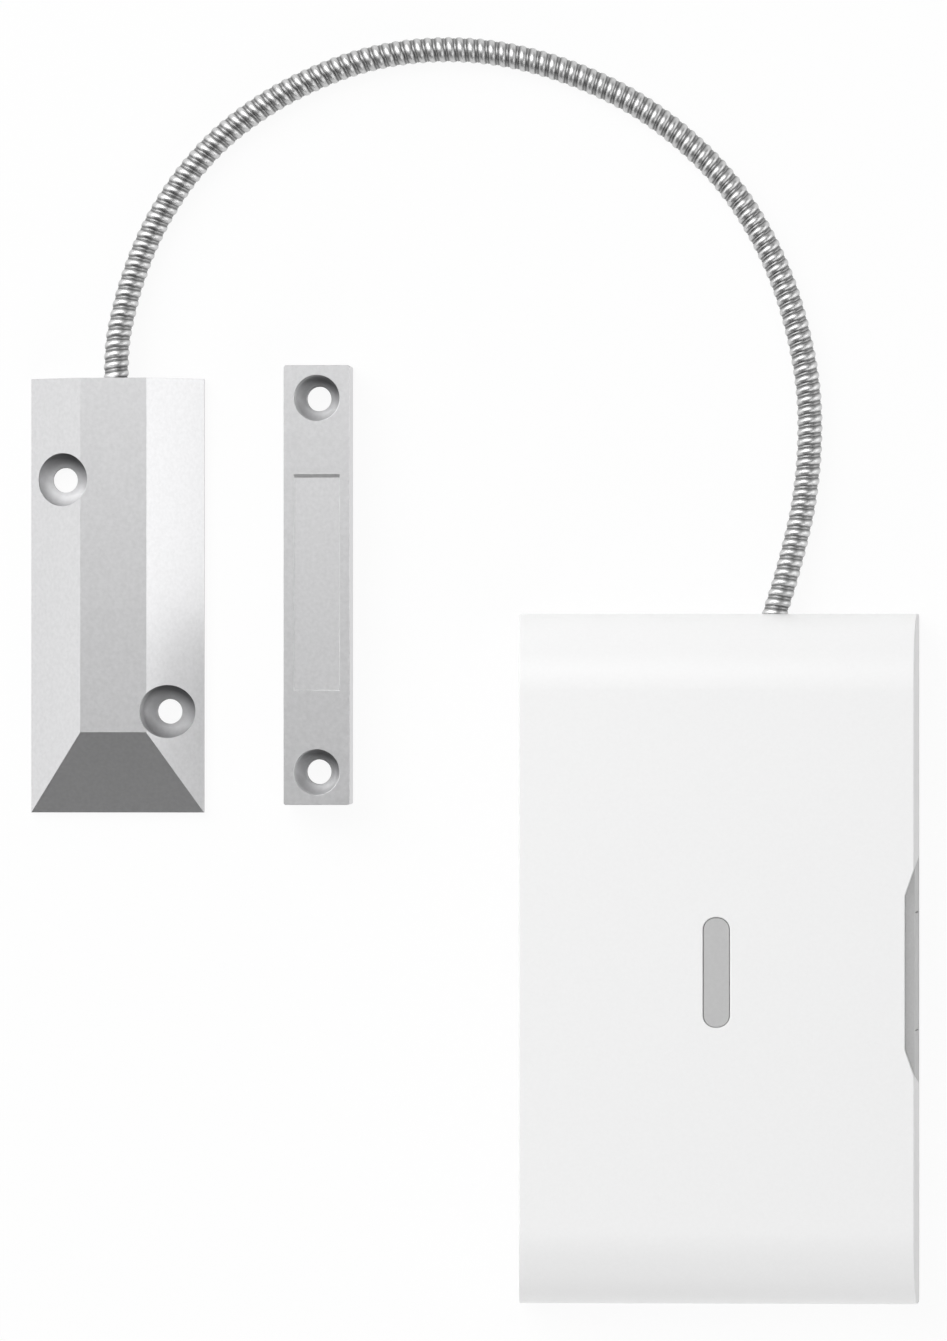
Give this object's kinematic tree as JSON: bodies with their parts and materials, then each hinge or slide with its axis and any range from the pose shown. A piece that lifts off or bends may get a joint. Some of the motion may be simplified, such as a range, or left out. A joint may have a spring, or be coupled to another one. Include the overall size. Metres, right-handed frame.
{
  "type": "garage door switch",
  "caption": "Wired magnetic contact with its magnet and an armoured conduit to a flat battery transmitter with a light bar and a side latch.",
  "frame": {"origin": "on the surface that the set lies on, midway across and along the contact, magnet and case", "axes": "+X to the case, +Y along the units towards the conduit's ends, +Z out of the faces"},
  "size_m": [0.215, 0.3053, 0.0285],
  "materials": {
    "housing_alloy": "light grey satin coat",
    "magnet_coat": "light grey satin coat",
    "conduit_steel": "bright rolled strip",
    "case_white": "fine satin moulding",
    "lens_grey": "frosted",
    "latch_grey": "satin moulding",
    "bare_steel": "bright",
    "plated_wire": "bright",
    "reed_glass": "clear",
    "nylon_ivory": "satin",
    "resin_black": "poured",
    "cable_jacket": "smooth",
    "core_red": "smooth",
    "ferrite": "ground",
    "board_green": "solder mask",
    "part_black": "moulded",
    "cell_jacket": "printed sleeve, plain",
    "terminal_green": "moulded",
    "led_clear": "clear",
    "can_tin": "tinned",
    "capacitor_sleeve": "shrunk sleeve"
  },
  "bodies": {
    "switch_set": {"contact_housing": "housing_alloy", "slot_cover": "housing_alloy", "reed_carrier": "nylon_ivory", "reed_capsule": "reed_glass", "reed_blade_fixed": "plated_wire", "reed_lead": "plated_wire", "contact_leads": "core_red", "cable_potting": "resin_black", "contact_end_bushing": "nylon_ivory", "armoured_conduit": "conduit_steel", "signal_cable": "cable_jacket", "case_end_bushing": "nylon_ivory", "conduit_clamp": "nylon_ivory", "clamp_screws": "bare_steel", "back_plate": "case_white", "latch_pin": "bare_steel", "latch_spring": "bare_steel", "main_board": "board_green", "board_screws": "bare_steel", "battery_holder": "part_black", "holder_screws": "bare_steel", "battery_cell_1": "cell_jacket", "battery_cell_2": "cell_jacket", "battery_springs": "bare_steel", "battery_tabs": "bare_steel", "battery_leads": "core_red", "terminal_block": "terminal_green", "terminal_screws": "bare_steel", "case_leads": "core_red", "tamper_switch": "part_black", "tamper_spring": "bare_steel", "pairing_switch": "part_black", "status_leds": "led_clear", "radio_module": "can_tin", "antenna": "plated_wire", "controller_chip": "part_black", "capacitors": "capacitor_sleeve"},
    "magnet_unit": {"magnet_housing": "magnet_coat", "bar_magnet": "ferrite", "magnet_back_plate": "magnet_coat"},
    "cover": {"front_cover": "case_white", "light_bar": "lens_grey", "latch_bezel": "latch_grey"},
    "latch": {"release_latch": "latch_grey"},
    "reed": {"reed_blade_moving": "plated_wire"},
    "plunger": {"tamper_plunger": "nylon_ivory"},
    "button": {"pairing_button": "nylon_ivory"}
  },
  "joints": [
    {"name": "door_travel", "type": "slide", "parent": "switch_set", "child": "magnet_unit", "axis": [0, 0, 1], "range_m": [0, 0.06]},
    {"name": "cover_lift", "type": "slide", "parent": "switch_set", "child": "cover", "axis": [0, 0, 1], "range_m": [0, 0.04]},
    {"name": "latch_press", "type": "hinge", "parent": "switch_set", "child": "latch", "pos_m": [0.1017, -0.0328, 0.0065], "axis": [0, -1, 0], "range_deg": [0, 3.5], "stiffness_Nm_per_rad": 0.5, "springref_deg": -2.86},
    {"name": "pairing_press", "type": "slide", "parent": "switch_set", "child": "button", "axis": [0, 0, -1], "range_m": [0, 0.00025], "stiffness_N_per_m": 1500, "springref_m": -0.0003},
    {"name": "plunger_rise", "type": "slide", "parent": "switch_set", "child": "plunger", "axis": [0, 0, 1], "range_m": [0, 0.0015], "deforming": ["tamper_spring"]},
    {"name": "reed_flex", "type": "hinge", "parent": "switch_set", "child": "reed", "pos_m": [-0.0865, 0.0648, 0.00535], "axis": [-1, 0, 0], "range_deg": [0, 0.7]}
  ],
  "couplings": [
    {"joint": "plunger_rise", "follows": "cover_lift", "ratio": 0.0375},
    {"joint": "reed_flex", "follows": "door_travel", "rad_per_m": 0.2}
  ]
}
